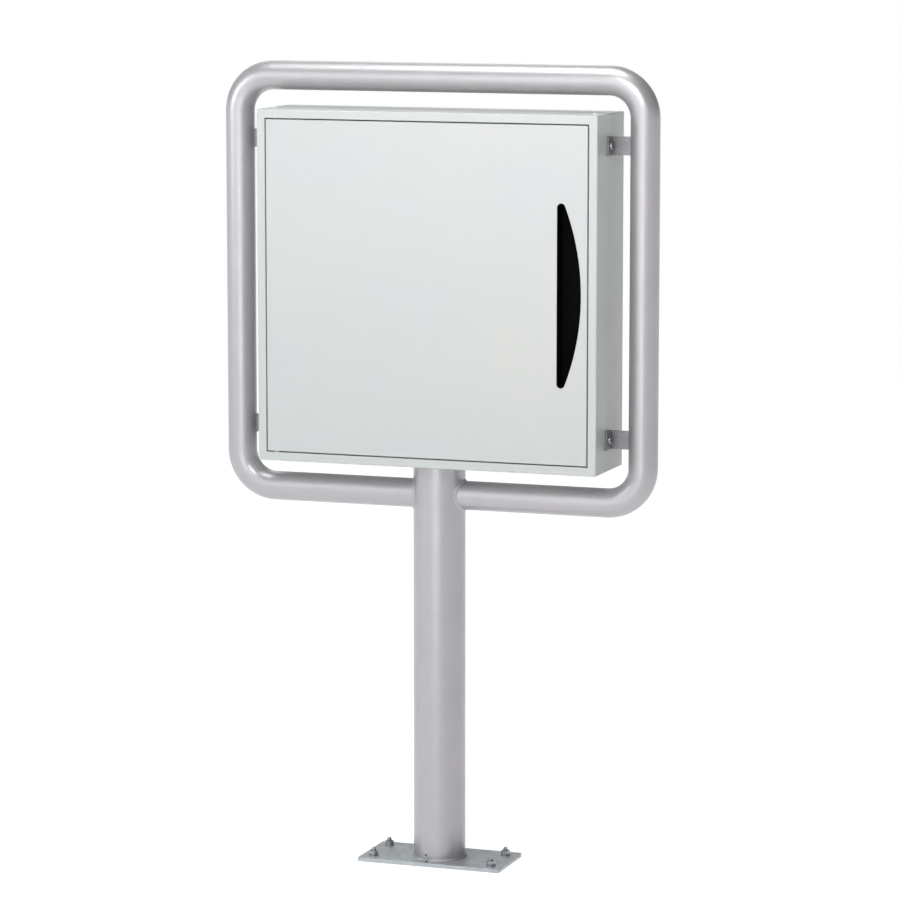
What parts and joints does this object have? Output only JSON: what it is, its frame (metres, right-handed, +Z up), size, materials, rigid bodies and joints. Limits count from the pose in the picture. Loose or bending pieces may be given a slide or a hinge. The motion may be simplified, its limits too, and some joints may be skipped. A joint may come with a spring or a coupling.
{
  "type": "street fire alarm cabinet",
  "caption": "Post-mounted outdoor fire alarm cabinet: flat sheet steel box with an inset door and a long curved grip recess, held in a bent tube frame on a round post with a base plate.",
  "frame": {"origin": "centre of the base plate's underside, on the ground", "axes": "+X to the right as one faces the door, +Y to the back, +Z up along the post"},
  "size_m": [0.9402, 0.18, 1.6652],
  "materials": {
    "frame_paint": "satin light grey powder coat on steel tube",
    "cabinet_paint": "satin light grey powder coat on steel sheet",
    "door_paint": "satin light grey powder coat on steel sheet",
    "plate_zinc": "hot-dip galvanised steel plate",
    "bracket_zinc": "zinc coated steel",
    "inner_zinc": "zinc coated steel sheet",
    "fastener_steel": "zinc plated fasteners",
    "seal_rubber": "black foam rubber",
    "plug_plastic": "light plug",
    "catch_plastic": "dark moulded plastic",
    "grip_plastic": "black moulded plastic",
    "bush_brass": "turned",
    "lock_brass": "turned",
    "lock_chrome": "polished",
    "card_paper": "laminated card",
    "housing_plastic": "light grey moulded plastic",
    "window_glass": "clear pane",
    "screen_plastic": "dark display",
    "lens_red": "red lens",
    "key_plastic": "grey key caps",
    "call_red": "red moulded plastic",
    "button_black": "black moulded plastic",
    "terminal_plastic": "grey polyamide",
    "breaker_plastic": "light polyamide",
    "supply_aluminium": "bare sheet and fins",
    "battery_plastic": "dark case"
  },
  "bodies": {
    "station": {"anchor_nuts": "fastener_steel", "anchor_studs": "fastener_steel", "base_plate": "plate_zinc", "battery": "battery_plastic", "battery_strap": "inner_zinc", "battery_tray": "inner_zinc", "bracket_nuts": "fastener_steel", "bracket_screws": "fastener_steel", "cabinet_body": "cabinet_paint", "cable_glands": "catch_plastic", "cable_grommet": "seal_rubber", "call_point_housing": "call_red", "circuit_breaker": "breaker_plastic", "control_housing": "housing_plastic", "din_rail": "inner_zinc", "display_housing": "housing_plastic", "display_screen": "screen_plastic", "display_window": "window_glass", "door_contact": "catch_plastic", "door_seal": "seal_rubber", "earth_screw": "fastener_steel", "earth_stud": "lock_brass", "floor_gasket": "seal_rubber", "floor_screws": "fastener_steel", "frame_brackets": "bracket_zinc", "frame_tube": "frame_paint", "heater": "supply_aluminium", "indicator_lenses": "lens_red", "jamb_frame": "cabinet_paint", "lock_body": "lock_chrome", "magnet_catches": "catch_plastic", "mounting_plate": "inner_zinc", "pivot_blocks": "fastener_steel", "pivot_pins": "fastener_steel", "post_head": "frame_paint", "post_tube": "frame_paint", "power_supply": "supply_aluminium", "roof_plugs": "plug_plastic", "standoffs": "fastener_steel", "terminal_blocks": "terminal_plastic", "transmitter_housing": "housing_plastic", "transmitter_lid": "housing_plastic", "weld_beads": "frame_paint"},
    "door": {"door_panel": "door_paint", "door_inner_panel": "door_paint", "door_stiffeners": "inner_zinc", "grip_cup": "grip_plastic", "pivot_bushes": "bush_brass", "strike_plates": "fastener_steel", "contact_magnet": "catch_plastic", "card_pocket": "inner_zinc", "route_cards": "card_paper"},
    "call_button": {"call_point_button": "button_black"},
    "key_switch_core": {"lock_plug": "lock_brass"},
    "supply_lever": {"breaker_lever": "button_black"},
    "key_1_cap": {"key_1": "key_plastic"},
    "key_2_cap": {"key_2": "key_plastic"},
    "key_3_cap": {"key_3": "key_plastic"},
    "key_4_cap": {"key_4": "key_plastic"}
  },
  "joints": [
    {"name": "door_hinge", "type": "hinge", "parent": "station", "child": "door", "pos_m": [-0.32896, -0.081, 1.205], "axis": [0, 0, -1], "range_deg": [0, 115]},
    {"name": "call_button_press", "type": "slide", "parent": "station", "child": "call_button", "axis": [0, 1, 0], "range_m": [0, 0.004], "stiffness_N_per_m": 600, "springref_m": -0.003},
    {"name": "key_switch_turn", "type": "hinge", "parent": "station", "child": "key_switch_core", "pos_m": [0.255, 0.004, 1.425], "axis": [0, 1, 0], "range_deg": [0, 90]},
    {"name": "supply_lever_throw", "type": "hinge", "parent": "station", "child": "supply_lever", "pos_m": [0.275, 0.0125, 1.225], "axis": [1, 0, 0], "range_deg": [0, 60]},
    {"name": "key_1_press", "type": "slide", "parent": "station", "child": "key_1_cap", "axis": [0, 1, 0], "range_m": [0, 0.0025], "stiffness_N_per_m": 300, "springref_m": -0.002},
    {"name": "key_2_press", "type": "slide", "parent": "station", "child": "key_2_cap", "axis": [0, 1, 0], "range_m": [0, 0.0025], "stiffness_N_per_m": 300, "springref_m": -0.002},
    {"name": "key_3_press", "type": "slide", "parent": "station", "child": "key_3_cap", "axis": [0, 1, 0], "range_m": [0, 0.0025], "stiffness_N_per_m": 300, "springref_m": -0.002},
    {"name": "key_4_press", "type": "slide", "parent": "station", "child": "key_4_cap", "axis": [0, 1, 0], "range_m": [0, 0.0025], "stiffness_N_per_m": 300, "springref_m": -0.002}
  ]
}
